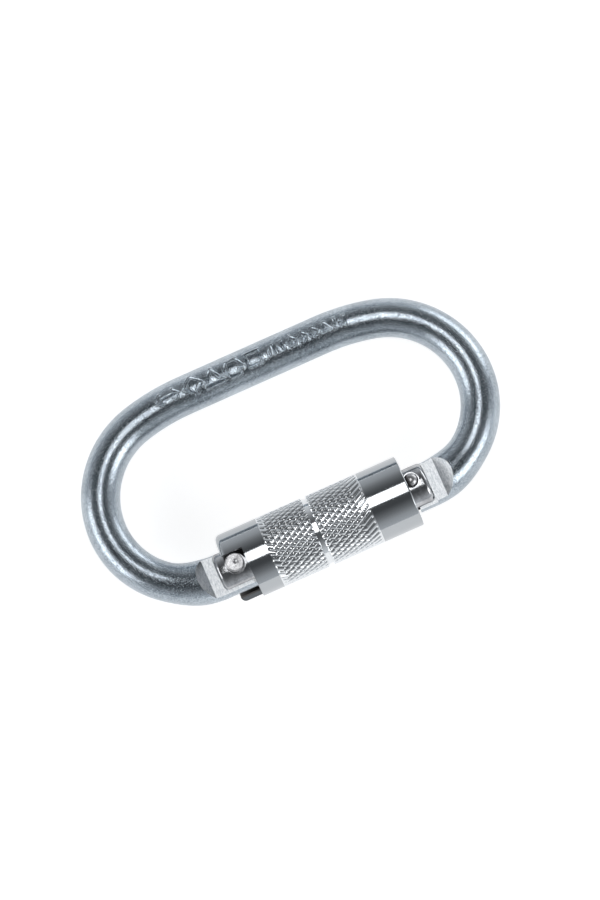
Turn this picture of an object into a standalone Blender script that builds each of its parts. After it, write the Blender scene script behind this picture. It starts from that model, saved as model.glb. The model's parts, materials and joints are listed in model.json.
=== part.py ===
"""Auto-locking oval safety carabiner: a bent round bar closed by a hinged gate with a turning lock sleeve.

Metres, +Z up. The carabiner lies flat: +X runs along the gate from its hinge to its nose, +Y points from
the gate to the spine, and z = 0 is the lowest line of the lock sleeve.
"""

import math

import bmesh
import bpy
from mathutils import Matrix, Vector

# Round bar
BAR_RADIUS = 0.0050
TENON_RADIUS = 0.0058
HALF_LENGTH = 0.05515
BOW_RADIUS = 0.0232
SHOULDER_ANGLE = math.radians(75.6)
WIDEST_Y = 0.0007
SPINE_Y = 0.024925
TENON_Y = -0.021175
SWELL_FROM_X = 0.042
SWELL_TO_X = 0.032
BAR_SIDES = 28

# Milled ends of the bar
FLAT_HALF = 0.0028
FLAT_END_X = 0.0315
FLAT_RUN = {-1: 0.84, 1: 1.19}  # length of the sloped run-out per unit of rise, hinge end and nose end
NOSE_HALF = 0.0021
NOSE_TIP_X = 0.0234
NOSE_TIP_REACH = 0.04794  # from the hinge pin, just clear of the sleeve swinging past
NOSE_SHOULDER_X = 0.0290
SEAT_RADIUS = 0.0019

# Gate
GATE_Y = -0.020575
BARREL_RADIUS = 0.0057
BARREL_LEFT_X = -0.0288
BARREL_RIGHT_X = 0.0284
BARREL_EDGE = 0.0012
HINGE_SLOT_FLOOR_X = -0.0169
HINGE_SLOT_HALF = 0.0031
NOSE_SLOT_FLOOR_X = 0.0170
NOSE_SLOT_HALF = 0.0024
HINGE_X = -0.0237
HINGE_RISE = 0.00025
LATCH_X = 0.0245
LATCH_RISE = 0.0015
PIN_HOLE_RADIUS = 0.0021

# Cam on the hinge end of the bar: its radius grows by CAM_RISE for each radian
CAM_RADIUS = 0.0054
CAM_RISE = 0.0016
CAM_TOP_ANGLE = math.radians(60.0)
CAM_LOW_ANGLE = math.radians(-25.0)
HEEL_X = 0.0032  # the bar end below the cam, from the hinge pin
HEEL_Y = -0.0064

# Pins
HINGE_SHANK = 0.0018
HINGE_HEAD = 0.00233
HINGE_HEAD_TOP = 0.0083
HINGE_SPOT_DEPTH = 0.0049
LATCH_SHANK = 0.0016
LATCH_HEAD = 0.0018
LATCH_HEAD_BASE = 0.0047
LATCH_HEAD_TOP = 0.0064
LATCH_SPOT_DEPTH = 0.0044

# Lock sleeve
SLEEVE_RADIUS = 0.00935
SLEEVE_LEFT_X = -0.0262
SLEEVE_RIGHT_X = 0.0232
SLEEVE_BORE = 0.00775
SLEEVE_LAND = 0.0060
SLEEVE_LAND_X = -0.0020
COUNTERBORE = 0.0069
COUNTERBORE_X = 0.0212
GROOVE_X = -0.0019
GROOVE_WIDTH = 0.00125
GROOVE_DEPTH = 0.0005
NOTCH_END_X = -0.0206
NOTCH_UPPER_Y = 0.0028
NOTCH_LOWER_ANGLE = math.radians(-119.0)

# Springs, plunger and guide ring
RING_LEFT_X = -0.0165
RING_RIGHT_X = -0.0150
SPRING_MEAN = 0.00675
SPRING_WIRE = 0.00042
SPRING_TURNS = 6
SPRING_START_X = -0.0142
SPRING_END_X = -0.0028
LEG_HOLE_RADIUS = 0.00075
GATE_BORE_RADIUS = 0.0018
GATE_BORE_END_X = -0.0037
PLUNGER_RADIUS = 0.0015
PLUNGER_RIGHT_X = -0.0126
GATE_SPRING_MEAN = 0.00112
GATE_SPRING_WIRE = 0.00032
GATE_SPRING_TURNS = 7
GATE_SPRING_START_X = -0.0119
GATE_SPRING_END_X = -0.0044

GAP = 0.0003
FAR = 0.016
TURNED_STEPS = 48
PIN_STEPS = 28
SPOT_STEPS = 30

MID_Z = SLEEVE_RADIUS
HINGE = Vector((HINGE_X, GATE_Y + HINGE_RISE, MID_Z))
LATCH = Vector((LATCH_X, GATE_Y + LATCH_RISE, MID_Z))
AXIS = Vector((0.0, GATE_Y, MID_Z))

ALONG_X = Matrix(((0, 0, 1), (1, 0, 0), (0, 1, 0))).to_4x4()
ALONG_Y = Matrix.Rotation(math.radians(90), 4, "X")


def clear_scene():
    for old in list(bpy.data.objects):
        bpy.data.objects.remove(old, do_unlink=True)


def new_collection(name):
    collection = bpy.data.collections.new(name)
    bpy.context.scene.collection.children.link(collection)
    return collection


clear_scene()
PARTS = new_collection("carabiner")
CUTTERS = new_collection("cutters")


def metal(name, colour, roughness):
    material = bpy.data.materials.new(name)
    material.use_nodes = True
    shader = material.node_tree.nodes["Principled BSDF"]
    shader.inputs["Base Color"].default_value = (*colour, 1.0)
    shader.inputs["Metallic"].default_value = 1.0
    shader.inputs["Roughness"].default_value = roughness
    return material


def add_part(name, mesh, material, place):
    """A sub-part whose mesh is given in the frame that `place` describes."""
    part = bpy.data.objects.new(name, mesh)
    part.matrix_world = place
    mesh.materials.clear()
    mesh.materials.append(material)
    mesh.shade_smooth()
    mesh.set_sharp_from_angle(angle=math.radians(30))
    PARTS.objects.link(part)
    return part


def to_mesh(guide):
    """The closed mesh of a curve or of an object with modifiers, in the object's own frame."""
    bpy.context.view_layer.update()
    graph = bpy.context.evaluated_depsgraph_get()
    mesh = bpy.data.meshes.new_from_object(guide.evaluated_get(graph))
    work = bmesh.new()
    work.from_mesh(mesh)
    bmesh.ops.remove_doubles(work, verts=work.verts, dist=1e-6)
    bmesh.ops.recalc_face_normals(work, faces=work.faces)
    work.to_mesh(mesh)
    work.free()
    bpy.data.objects.remove(guide, do_unlink=True)
    return mesh


def turned_mesh(profile, steps):
    """A solid or ring turned about local Z from (radius, height) points that run down its outer side."""
    mesh = bpy.data.meshes.new("profile")
    work = bmesh.new()
    points = [work.verts.new((r, 0.0, z)) for r, z in profile]
    closed = all(r > 0 for r, _ in profile)
    ends = points[1:] + points[:1] if closed else points[1:]
    for a, b in zip(points, ends):
        work.edges.new((a, b))
    work.to_mesh(mesh)
    work.free()
    guide = bpy.data.objects.new("profile", mesh)
    CUTTERS.objects.link(guide)
    screw = guide.modifiers.new("turn", "SCREW")
    screw.steps = steps
    screw.render_steps = steps
    screw.use_merge_vertices = True
    screw.merge_threshold = 0.000001
    return to_mesh(guide)


def outline_mesh(points, low, high):
    """A flat outline in local XY, extruded from low to high along local Z."""
    curve = bpy.data.curves.new("outline", "CURVE")
    curve.dimensions = "2D"
    curve.fill_mode = "BOTH"
    curve.extrude = (high - low) / 2
    spline = curve.splines.new("POLY")
    spline.points.add(len(points) - 1)
    for point, (x, y) in zip(spline.points, points):
        point.co = (x, y, 0.0, 1.0)
    spline.use_cyclic_u = True
    guide = bpy.data.objects.new("outline", curve)
    CUTTERS.objects.link(guide)
    mesh = to_mesh(guide)
    mesh.transform(Matrix.Translation((0.0, 0.0, (high + low) / 2)))
    return mesh


def wire_mesh(points, radius, sides, swell=None):
    """A round wire or bar through points, with an optional radius factor for each point."""
    curve = bpy.data.curves.new("wire", "CURVE")
    curve.dimensions = "3D"
    curve.bevel_depth = radius
    curve.bevel_resolution = sides // 4 - 1
    curve.use_fill_caps = True
    spline = curve.splines.new("POLY")
    spline.points.add(len(points) - 1)
    for i, place in enumerate(points):
        spline.points[i].co = (*place, 1.0)
        spline.points[i].radius = swell[i] if swell else 1.0
    guide = bpy.data.objects.new("wire", curve)
    CUTTERS.objects.link(guide)
    return to_mesh(guide)


def cutter(mesh, place):
    tool = bpy.data.objects.new("cutter", mesh)
    tool.matrix_world = place
    tool.hide_render = True
    tool.display_type = "WIRE"
    CUTTERS.objects.link(tool)
    return tool


def cut(part, tools):
    for tool in tools:
        boolean = part.modifiers.new("cut", "BOOLEAN")
        boolean.operation = "DIFFERENCE"
        boolean.solver = "EXACT"
        boolean.object = tool


def arc(centre, radius, start, end, count):
    """Points on an arc, both ends included; angles in radians from +X."""
    angles = [start + (end - start) * i / (count - 1) for i in range(count)]
    return [
        (centre[0] + radius * math.cos(a), centre[1] + radius * math.sin(a))
        for a in angles
    ]


def rod(radius, low, high, steps=PIN_STEPS):
    """A plain rod along local Z, turned a little so that no facet edge lies on a row axis."""
    mesh = turned_mesh([(0.0, high), (radius, high), (radius, low), (0.0, low)], steps)
    mesh.transform(Matrix.Rotation(math.radians(4), 4, "Z"))
    return mesh


def half_centreline():
    """The bar's centreline from the middle of the spine to the tenon, on the +X side, as (x, y)."""
    widest_x = HALF_LENGTH - BAR_RADIUS
    sine = math.sin(SHOULDER_ANGLE)
    shoulder = (SPINE_Y - WIDEST_Y - BOW_RADIUS * sine) / (1 - sine)
    bow_centre = (widest_x - BOW_RADIUS, WIDEST_Y)
    shoulder_centre = (
        bow_centre[0] + (BOW_RADIUS - shoulder) * math.cos(SHOULDER_ANGLE),
        bow_centre[1] + (BOW_RADIUS - shoulder) * sine,
    )
    low_radius = WIDEST_Y - TENON_Y
    low_centre = (widest_x - low_radius, WIDEST_Y)
    line = [(0.0, SPINE_Y)]
    line += arc(shoulder_centre, shoulder, math.pi / 2, SHOULDER_ANGLE, 6)
    line += arc(bow_centre, BOW_RADIUS, SHOULDER_ANGLE, 0.0, 13)[1:]
    line += arc(low_centre, low_radius, 0.0, -math.pi / 2, 15)[1:]
    return line


def bar_factor(x, y):
    """How much thicker than the plain bar the bar is at this point of its centreline."""
    if y > WIDEST_Y:
        return 1.0
    share = (SWELL_FROM_X - abs(x)) / (SWELL_FROM_X - SWELL_TO_X)
    share = min(max(share, 0.0), 1.0)
    smooth = share * share * (3 - 2 * share)
    return 1 + smooth * (TENON_RADIUS / BAR_RADIUS - 1)


def flat_cutters(side, top):
    """Tools that mill one flat with its sloped run-out: side -1 is the hinge end, top 1 the +Z face."""
    rise = TENON_RADIUS + 0.001
    slope = (rise - FLAT_HALF) * FLAT_RUN[side]
    outline = [
        (side * (FLAT_END_X + slope), top * rise),
        (side * FLAT_END_X, top * FLAT_HALF),
        (side * 0.012, top * FLAT_HALF),
        (side * 0.012, top * rise),
    ]
    place = Matrix.Translation((0.0, TENON_Y, MID_Z)) @ ALONG_Y
    return cutter(outline_mesh(outline, -0.008, 0.008), place)


def hinge_end_cutter():
    """Everything past the cam curve and the heel that end the bar around the hinge pin."""
    count = 14
    curve = []
    for i in range(count + 1):
        angle = CAM_LOW_ANGLE + (CAM_TOP_ANGLE - CAM_LOW_ANGLE) * i / count
        reach = CAM_RADIUS + CAM_RISE * angle
        curve.append((reach * math.cos(angle), reach * math.sin(angle)))
    past_x, past_y = 0.014, 0.010
    outline = [(HEEL_X, -past_y), (HEEL_X, HEEL_Y), *curve]
    outline += [(curve[-1][0], past_y), (past_x, past_y), (past_x, -past_y)]
    return cutter(outline_mesh(outline, -FAR, FAR), Matrix.Translation(HINGE))


def nose_pocket_cutter(top):
    """Thins the nose inside the gate's fork, up to a shoulder concentric with the hinge pin."""
    reach = NOSE_SHOULDER_X - HINGE_X
    spread = math.radians(9)
    outline = arc((0.0, 0.0), reach, -spread, spread, 13)
    outline += [(0.044, 0.010), (0.044, -0.010)]
    low, high = sorted((top * NOSE_HALF, top * 0.007))
    return cutter(outline_mesh(outline, low, high), Matrix.Translation(HINGE))


def nose_tip_cutter():
    """Rounds the end of the nose about the hinge pin, so the sleeve's corner swings past it."""
    spread = math.radians(12.5)
    inner_x = 0.045
    past_y = NOSE_TIP_REACH * math.sin(spread)
    outline = arc((0.0, 0.0), NOSE_TIP_REACH, -spread, spread, 15)
    outline += [(inner_x, past_y), (inner_x, -past_y)]
    return cutter(outline_mesh(outline, -FAR, FAR), Matrix.Translation(HINGE))


def seat_cutter():
    """The half-round seat in the nose that the latch pin drops into."""
    outline = [(SEAT_RADIUS, 0.010)]
    outline += arc((0.0, 0.0), SEAT_RADIUS, 0.0, -math.pi, 13)
    outline += [(-SEAT_RADIUS, 0.010)]
    return cutter(outline_mesh(outline, -FAR, FAR), Matrix.Translation(LATCH))


def make_body(material):
    right = half_centreline()
    left = [(-x, y) for x, y in right[:0:-1]]
    hinge_tip = (-0.0155, TENON_Y)
    nose_tip = (NOSE_TIP_X, TENON_Y)
    line = [hinge_tip, *left, *right, nose_tip]
    points = [(x, y, MID_Z) for x, y in line]
    mesh = wire_mesh(points, BAR_RADIUS, BAR_SIDES, [bar_factor(x, y) for x, y in line])
    body = add_part("body", mesh, material, Matrix.Identity(4))
    tools = [flat_cutters(side, top) for side in (-1, 1) for top in (-1, 1)]
    tools += [nose_pocket_cutter(top) for top in (-1, 1)]
    tools += [hinge_end_cutter(), nose_tip_cutter(), seat_cutter()]
    tools.append(cutter(rod(PIN_HOLE_RADIUS, -FAR, FAR), Matrix.Translation(HINGE)))
    cut(body, tools)


def barrel_profile():
    """(radius, height) down the outer side of the barrel, whose local Z is world X."""
    edge = BARREL_EDGE
    inner = BARREL_RADIUS - edge
    top = arc((inner, BARREL_RIGHT_X - edge), edge, math.pi / 2, 0.0, 5)
    bottom = arc((inner, BARREL_LEFT_X + edge), edge, 0.0, -math.pi / 2, 5)
    return [(0.0, BARREL_RIGHT_X), *top, *bottom, (0.0, BARREL_LEFT_X)]


def slot_cutter(x0, x1, half):
    outline = [(x0, -half), (x1, -half), (x1, half), (x0, half)]
    return cutter(outline_mesh(outline, -0.008, 0.008), Matrix.Translation(AXIS) @ ALONG_Y)


def make_gate_barrel(material):
    place = Matrix.Translation(AXIS) @ ALONG_X
    mesh = turned_mesh(barrel_profile(), TURNED_STEPS)
    mesh.transform(Matrix.Translation(-HINGE) @ place)
    barrel = add_part("gate_barrel", mesh, material, Matrix.Translation(HINGE))
    at_hinge = Matrix.Translation(HINGE)
    at_latch = Matrix.Translation(LATCH)
    hinge_spot = HINGE_HEAD + GAP
    latch_spot = LATCH_HEAD + GAP
    tools = [
        slot_cutter(-0.032, HINGE_SLOT_FLOOR_X, HINGE_SLOT_HALF),
        slot_cutter(NOSE_SLOT_FLOOR_X, 0.032, NOSE_SLOT_HALF),
        cutter(rod(PIN_HOLE_RADIUS, -FAR, FAR), at_hinge),
        cutter(rod(LATCH_SHANK + GAP, -FAR, FAR), at_latch),
        cutter(rod(hinge_spot, HINGE_SPOT_DEPTH, FAR, SPOT_STEPS), at_hinge),
        cutter(rod(hinge_spot, -FAR, -HINGE_SPOT_DEPTH, SPOT_STEPS), at_hinge),
        cutter(rod(latch_spot, LATCH_SPOT_DEPTH, FAR, SPOT_STEPS), at_latch),
        cutter(rod(latch_spot, -FAR, -LATCH_SPOT_DEPTH, SPOT_STEPS), at_latch),
        cutter(rod(GATE_BORE_RADIUS, -0.020, GATE_BORE_END_X), place),
    ]
    cut(barrel, tools)


def make_hinge_pin(material):
    """A riveted pin with a tall flat head that the sleeve's notch stops against, and a low rear head."""
    edge = 0.00035
    dimple = 0.0009
    head_base = HINGE_SPOT_DEPTH + GAP
    rear = -0.0064
    profile = [
        (0.0, HINGE_HEAD_TOP - 0.0005),
        (dimple * 0.5, HINGE_HEAD_TOP - 0.0004),
        (dimple, HINGE_HEAD_TOP),
        (HINGE_HEAD - edge, HINGE_HEAD_TOP),
        (HINGE_HEAD, HINGE_HEAD_TOP - edge),
        (HINGE_HEAD, head_base),
        (HINGE_SHANK, head_base),
        (HINGE_SHANK, -head_base),
        (HINGE_HEAD, -head_base),
        (HINGE_HEAD, rear + edge),
        (HINGE_HEAD - edge, rear),
        (0.0, rear),
    ]
    add_part("hinge_pin", turned_mesh(profile, PIN_STEPS), material, Matrix.Translation(HINGE))


def dome(sign):
    """One domed rivet head, outward, as (radius, height) points."""
    rise = LATCH_HEAD_TOP - LATCH_HEAD_BASE - 0.0003
    count = 5
    points = []
    for i in range(count + 1):
        angle = math.pi / 2 * (1 - i / count)
        height = LATCH_HEAD_BASE + 0.0003 + rise * math.sin(angle)
        points.append((LATCH_HEAD * math.cos(angle), sign * height))
    points[0] = (0.0, points[0][1])
    return [*points, (LATCH_HEAD, sign * LATCH_HEAD_BASE)]


def make_latch_pin(material):
    top = [*dome(1), (LATCH_SHANK, LATCH_HEAD_BASE)]
    bottom = [*dome(-1), (LATCH_SHANK, -LATCH_HEAD_BASE)]
    mesh = turned_mesh([*top, *bottom[::-1]], PIN_STEPS)
    add_part("latch_pin", mesh, material, Matrix.Translation(LATCH))


def sleeve_profile():
    """Closed (radius, x) loop of the sleeve's wall: down the outer side from the nose end, up the bore."""
    soft = 0.0014
    small = 0.00035
    half = GROOVE_WIDTH / 2
    r = SLEEVE_RADIUS
    outer = arc((r - small, SLEEVE_RIGHT_X - small), small, math.pi / 2, 0.0, 3)
    outer += [(r, GROOVE_X + half), (r - GROOVE_DEPTH, GROOVE_X + half * 0.7)]
    outer += [(r - GROOVE_DEPTH, GROOVE_X - half * 0.7), (r, GROOVE_X - half)]
    outer += arc((r - soft, SLEEVE_LEFT_X + soft), soft, 0.0, -math.pi / 2, 6)
    inner = [(SLEEVE_BORE, SLEEVE_LEFT_X), (SLEEVE_BORE, SLEEVE_LAND_X)]
    inner += [(SLEEVE_LAND, SLEEVE_LAND_X), (SLEEVE_LAND, COUNTERBORE_X)]
    inner += [(COUNTERBORE, COUNTERBORE_X), (COUNTERBORE, SLEEVE_RIGHT_X)]
    return outer + inner


def notch_cutter():
    """Opens the sleeve's hinge end, so that once turned it lets the bar swing through."""
    outline = [(NOTCH_UPPER_Y, 0.0), (NOTCH_UPPER_Y, FAR)]
    outline += arc((0.0, 0.0), FAR, math.radians(105), math.pi / 2 - NOTCH_LOWER_ANGLE, 12)
    outline += [(0.0, 0.0)]
    place = Matrix.Translation(AXIS) @ ALONG_X
    return cutter(outline_mesh(outline, SLEEVE_LEFT_X - 0.004, NOTCH_END_X), place)


def leg_place(x):
    """Where a leg of the torsion spring runs, on the +Y side of the barrel."""
    return Matrix.Translation((x, GATE_Y + SPRING_MEAN, MID_Z)) @ ALONG_X


def make_sleeve(material):
    place = Matrix.Translation(AXIS) @ ALONG_X
    sleeve = add_part("lock_sleeve", turned_mesh(sleeve_profile(), TURNED_STEPS), material, place)
    leg_hole = rod(LEG_HOLE_RADIUS, -0.001, 0.0030, steps=12)
    cut(sleeve, [notch_cutter(), cutter(leg_hole, leg_place(SLEEVE_LAND_X))])


def make_guide_ring(material):
    """A steel ring on the barrel: the sleeve turns on it, and it holds the torsion spring's fixed leg."""
    outer = SLEEVE_BORE - GAP
    inner = BARREL_RADIUS + GAP
    profile = [(outer, RING_RIGHT_X), (outer, RING_LEFT_X), (inner, RING_LEFT_X), (inner, RING_RIGHT_X)]
    place = Matrix.Translation(AXIS) @ ALONG_X
    ring = add_part("guide_ring", turned_mesh(profile, TURNED_STEPS), material, place)
    notch = rod(LEG_HOLE_RADIUS, -0.003, 0.003, steps=12)
    cut(ring, [cutter(notch, leg_place(RING_RIGHT_X))])


def coil(mean, start_x, end_x, turns, first_angle):
    """Points along a helix about the barrel's axis."""
    steps = 14 * turns
    points = []
    for i in range(steps + 1):
        angle = first_angle + 2 * math.pi * turns * i / steps
        x = start_x + (end_x - start_x) * i / steps
        y = GATE_Y + mean * math.cos(angle)
        z = MID_Z + mean * math.sin(angle)
        points.append((x, y, z))
    return points


def make_sleeve_spring(material):
    """The torsion spring that turns the sleeve back, with a straight leg at each end."""
    turns = coil(SPRING_MEAN, SPRING_START_X, SPRING_END_X, SPRING_TURNS, 0.0)
    y, z = turns[0][1:]
    points = [(RING_LEFT_X + 0.0003, y, z), (SPRING_START_X - 0.0002, y, z), *turns[1:-1]]
    points += [(SPRING_END_X + 0.0002, y, z), (SLEEVE_LAND_X + 0.0024, y, z)]
    mesh = wire_mesh(points, SPRING_WIRE, 8)
    add_part("sleeve_spring", mesh, material, Matrix.Identity(4))


def make_gate_spring(material):
    points = coil(GATE_SPRING_MEAN, GATE_SPRING_START_X, GATE_SPRING_END_X, GATE_SPRING_TURNS, 0.0)
    mesh = wire_mesh(points, GATE_SPRING_WIRE, 8)
    add_part("gate_spring", mesh, material, Matrix.Identity(4))


def make_gate_plunger(material):
    """The rod that the gate spring pushes against the cam."""
    tip = HINGE_X + CAM_RADIUS + GAP
    rounding = 0.0009
    nose = arc((PLUNGER_RADIUS - rounding, tip + rounding), rounding, 0.0, -math.pi / 2, 4)
    profile = [(0.0, PLUNGER_RIGHT_X), (PLUNGER_RADIUS, PLUNGER_RIGHT_X), *nose, (0.0, tip)]
    place = Matrix.Translation(AXIS) @ ALONG_X
    add_part("gate_plunger", turned_mesh(profile, 20), material, place)


def build():
    zinc = metal("zinc_plated_steel", (0.71, 0.75, 0.79), 0.28)
    polished = metal("polished_plated_steel", (0.78, 0.79, 0.81), 0.18)
    turned = metal("turned_steel", (0.55, 0.55, 0.56), 0.30)
    rivet = metal("rivet_steel", (0.74, 0.74, 0.76), 0.35)
    spring = metal("spring_steel", (0.42, 0.42, 0.43), 0.35)
    make_body(zinc)
    make_gate_barrel(turned)
    make_hinge_pin(rivet)
    make_latch_pin(rivet)
    make_sleeve(polished)
    make_guide_ring(turned)
    make_sleeve_spring(spring)
    make_gate_spring(spring)
    make_gate_plunger(turned)


build()
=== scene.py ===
import bpy
import bmesh
import json
import math
import numpy as np
from mathutils import Matrix, Vector


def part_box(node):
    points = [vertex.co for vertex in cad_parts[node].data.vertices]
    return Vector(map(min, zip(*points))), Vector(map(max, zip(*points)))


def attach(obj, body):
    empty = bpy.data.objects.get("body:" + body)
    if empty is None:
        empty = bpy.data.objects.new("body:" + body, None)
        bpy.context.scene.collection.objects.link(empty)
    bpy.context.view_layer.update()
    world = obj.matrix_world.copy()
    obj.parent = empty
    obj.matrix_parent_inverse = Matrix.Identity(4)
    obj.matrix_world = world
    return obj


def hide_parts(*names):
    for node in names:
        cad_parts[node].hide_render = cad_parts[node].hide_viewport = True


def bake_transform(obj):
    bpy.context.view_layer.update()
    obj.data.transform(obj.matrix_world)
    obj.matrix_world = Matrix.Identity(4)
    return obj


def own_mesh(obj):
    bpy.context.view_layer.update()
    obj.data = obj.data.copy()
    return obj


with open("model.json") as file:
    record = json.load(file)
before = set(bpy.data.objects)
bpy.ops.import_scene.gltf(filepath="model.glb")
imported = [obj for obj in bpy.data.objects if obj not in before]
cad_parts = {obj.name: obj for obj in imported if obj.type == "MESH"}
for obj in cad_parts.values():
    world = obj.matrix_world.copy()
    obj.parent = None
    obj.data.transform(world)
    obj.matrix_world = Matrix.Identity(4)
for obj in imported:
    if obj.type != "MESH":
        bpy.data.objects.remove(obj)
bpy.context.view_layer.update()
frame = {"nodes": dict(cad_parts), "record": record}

mm = 0.001

# places that every piece shares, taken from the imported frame
jointAt = {joint["name"]: joint for joint in frame["record"]["behaviour"]["joints"]}
hingeAt = Vector(jointAt["gate_swing"]["pos_m"])
gateAxis = Vector(jointAt["sleeve_turn"]["pos_m"])
midZ = hingeAt.z
bodyLow, bodyHigh = (Vector(corner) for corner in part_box("body"))
sleeveLow, sleeveHigh = (Vector(corner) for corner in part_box("lock_sleeve"))
barrelLow, barrelHigh = (Vector(corner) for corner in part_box("gate_barrel"))
latchLow, latchHigh = (Vector(corner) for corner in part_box("latch_pin"))
pinLow, pinHigh = (Vector(corner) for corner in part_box("hinge_pin"))
latchAt = Vector(((latchLow.x + latchHigh.x) / 2, (latchLow.y + latchHigh.y) / 2, midZ))
hingeHead = (pinHigh.x - pinLow.x) / 2
latchHead = (latchHigh.x - latchLow.x) / 2

alongX = Matrix(((0, 0, 1), (1, 0, 0), (0, 1, 0))).to_4x4()  # turns a solid's axis to world X
alongY = Matrix.Rotation(math.radians(90), 4, "X")  # turns a solid's axis to world Y


# mesh helpers

meshCare = {
    "cutReach": 16.0 * mm,  # cutters that go right through reach this far each way
    "rodColumns": 64,
    "columnTurn": 0.013,  # keeps the columns off the cutters' corners
    "mergeGap": 2e-7,
    "thinEdge": 1e-7,
}
cutReach = meshCare["cutReach"]

def newObject(name, mesh):
    obj = bpy.data.objects.new(name, mesh)
    bpy.context.scene.collection.objects.link(obj)
    return obj


def meshFrom(name, points, faces):
    mesh = bpy.data.meshes.new(name)
    mesh.from_pydata([tuple(p) for p in points], [], faces)
    mesh.validate()
    return mesh


def arc(centre, radius, start, end, count):
    angles = np.linspace(start, end, count)
    return [(centre[0] + radius * math.cos(a), centre[1] + radius * math.sin(a)) for a in angles]


# quads between rings of equal length, joined in a loop or closed with a cap at each end
def ringSurface(name, rings, loop=False):
    rows, columns = len(rings), len(rings[0])
    points = [p for ring in rings for p in ring]
    faces = []
    for i in range(rows if loop else rows - 1):
        here, there = i * columns, ((i + 1) % rows) * columns
        for j in range(columns):
            k = (j + 1) % columns
            faces.append((here + j, here + k, there + k, there + j))
    if not loop:
        faces.append(tuple(range(columns - 1, -1, -1)))
        faces.append(tuple((rows - 1) * columns + j for j in range(columns)))
    return meshFrom(name, points, faces)


# a turned solid from (radius, height) points, its axis along local Z
def turnedMesh(name, profile, columns):
    angles = np.arange(columns) * 2 * math.pi / columns + meshCare["columnTurn"]
    c, s = np.cos(angles), np.sin(angles)
    rings = [list(zip(r * c, r * s, np.full(columns, h))) for r, h in profile]
    mesh = ringSurface(name, rings)
    faceOut(mesh)
    return mesh


def faceOut(mesh):
    work = bmesh.new()
    work.from_mesh(mesh)
    bmesh.ops.recalc_face_normals(work, faces=work.faces)
    work.to_mesh(mesh)
    work.free()


# a prism over a flat outline in local XY
def prismMesh(outline, low, high):
    count = len(outline)
    points = [(x, y, low) for x, y in outline] + [(x, y, high) for x, y in outline]
    faces = [tuple(range(count)), tuple(range(2 * count - 1, count - 1, -1))]
    faces += [(i, (i + 1) % count, (i + 1) % count + count, i + count) for i in range(count)]
    mesh = meshFrom("prism", points, faces)
    faceOut(mesh)
    return mesh


def rodMesh(radius, low, high):
    return turnedMesh("rod", [(radius, high), (radius, low)], meshCare["rodColumns"])


# cuts the tools away and keeps the result as a plain mesh
def cutAway(obj, tools):
    helpers = []
    for mesh, place in tools:
        tool = newObject("tool", mesh)
        tool.matrix_world = place
        helpers.append(tool)
        boolean = obj.modifiers.new("cut", "BOOLEAN")
        boolean.operation = "DIFFERENCE"
        boolean.solver = "MANIFOLD"
        boolean.object = tool
    bpy.context.view_layer.update()
    graph = bpy.context.evaluated_depsgraph_get()
    mesh = bpy.data.meshes.new_from_object(obj.evaluated_get(graph))
    obj.modifiers.clear()
    mesh.materials.clear()
    obj.data = mesh
    for tool in helpers:
        bpy.data.objects.remove(tool, do_unlink=True)
    work = bmesh.new()
    work.from_mesh(mesh)
    bmesh.ops.remove_doubles(work, verts=work.verts, dist=meshCare["mergeGap"])
    bmesh.ops.dissolve_degenerate(work, edges=work.edges, dist=meshCare["thinEdge"])
    work.to_mesh(mesh)
    work.free()


def smooth(obj, angle):
    obj.data.shade_smooth()
    obj.data.set_sharp_from_angle(angle=math.radians(angle))


def report(stage, obj):
    print(f"{stage}: {len(obj.data.vertices)} points")


# materials

def nodeMaterial(name):
    material = bpy.data.materials.new(name)
    material.use_nodes = True
    tree = material.node_tree
    shader = tree.nodes["Principled BSDF"]
    shader.inputs["Metallic"].default_value = 1.0
    return material, tree, shader


def link(tree, source, target):
    tree.links.new(source, target)


def objectCoords(tree):
    return tree.nodes.new("ShaderNodeTexCoord").outputs["Object"]


def noiseAt(tree, coords, scale, detail, rough):
    noise = tree.nodes.new("ShaderNodeTexNoise")
    noise.inputs["Scale"].default_value = scale
    noise.inputs["Detail"].default_value = detail
    noise.inputs["Roughness"].default_value = rough
    link(tree, coords, noise.inputs["Vector"])
    return noise.outputs["Fac"]


# noise with its own scale along each axis
def streaksAt(tree, coords, scales, detail, rough):
    mapping = tree.nodes.new("ShaderNodeMapping")
    mapping.inputs["Scale"].default_value = scales
    link(tree, coords, mapping.inputs["Vector"])
    return noiseAt(tree, mapping.outputs["Vector"], 1.0, detail, rough)


def rampAt(tree, value, stops):
    ramp = tree.nodes.new("ShaderNodeValToRGB")
    elements = ramp.color_ramp.elements
    while len(elements) < len(stops):
        elements.new(0.5)
    for element, (place, colour) in zip(elements, stops):
        element.position = place
        element.color = (*colour, 1.0)
    link(tree, value, ramp.inputs["Fac"])
    return ramp.outputs["Color"]


# from the dull tone to the bright one
def toneAt(tree, value, look):
    low, high = look["toneRange"]
    return rampAt(tree, value, [(low, look["dull"]), (high, look["bright"])])


def rangeAt(tree, value, low, high, fromLow=0.0, fromHigh=1.0):
    node = tree.nodes.new("ShaderNodeMapRange")
    node.inputs["From Min"].default_value = fromLow
    node.inputs["From Max"].default_value = fromHigh
    node.inputs["To Min"].default_value = low
    node.inputs["To Max"].default_value = high
    link(tree, value, node.inputs["Value"])
    return node.outputs["Result"]


def mathAt(tree, operation, first, second=None):
    node = tree.nodes.new("ShaderNodeMath")
    node.operation = operation
    for socket, value in zip(node.inputs, (first, second)):
        if value is None:
            continue
        if isinstance(value, (int, float)):
            socket.default_value = value
        else:
            link(tree, value, socket)
    return node.outputs["Value"]


# two patterns added together, the second one by its share
def blendAt(tree, first, second, share):
    firstPart = mathAt(tree, "MULTIPLY", first, 1.0 - share)
    secondPart = mathAt(tree, "MULTIPLY", second, share)
    return mathAt(tree, "ADD", firstPart, secondPart)


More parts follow.
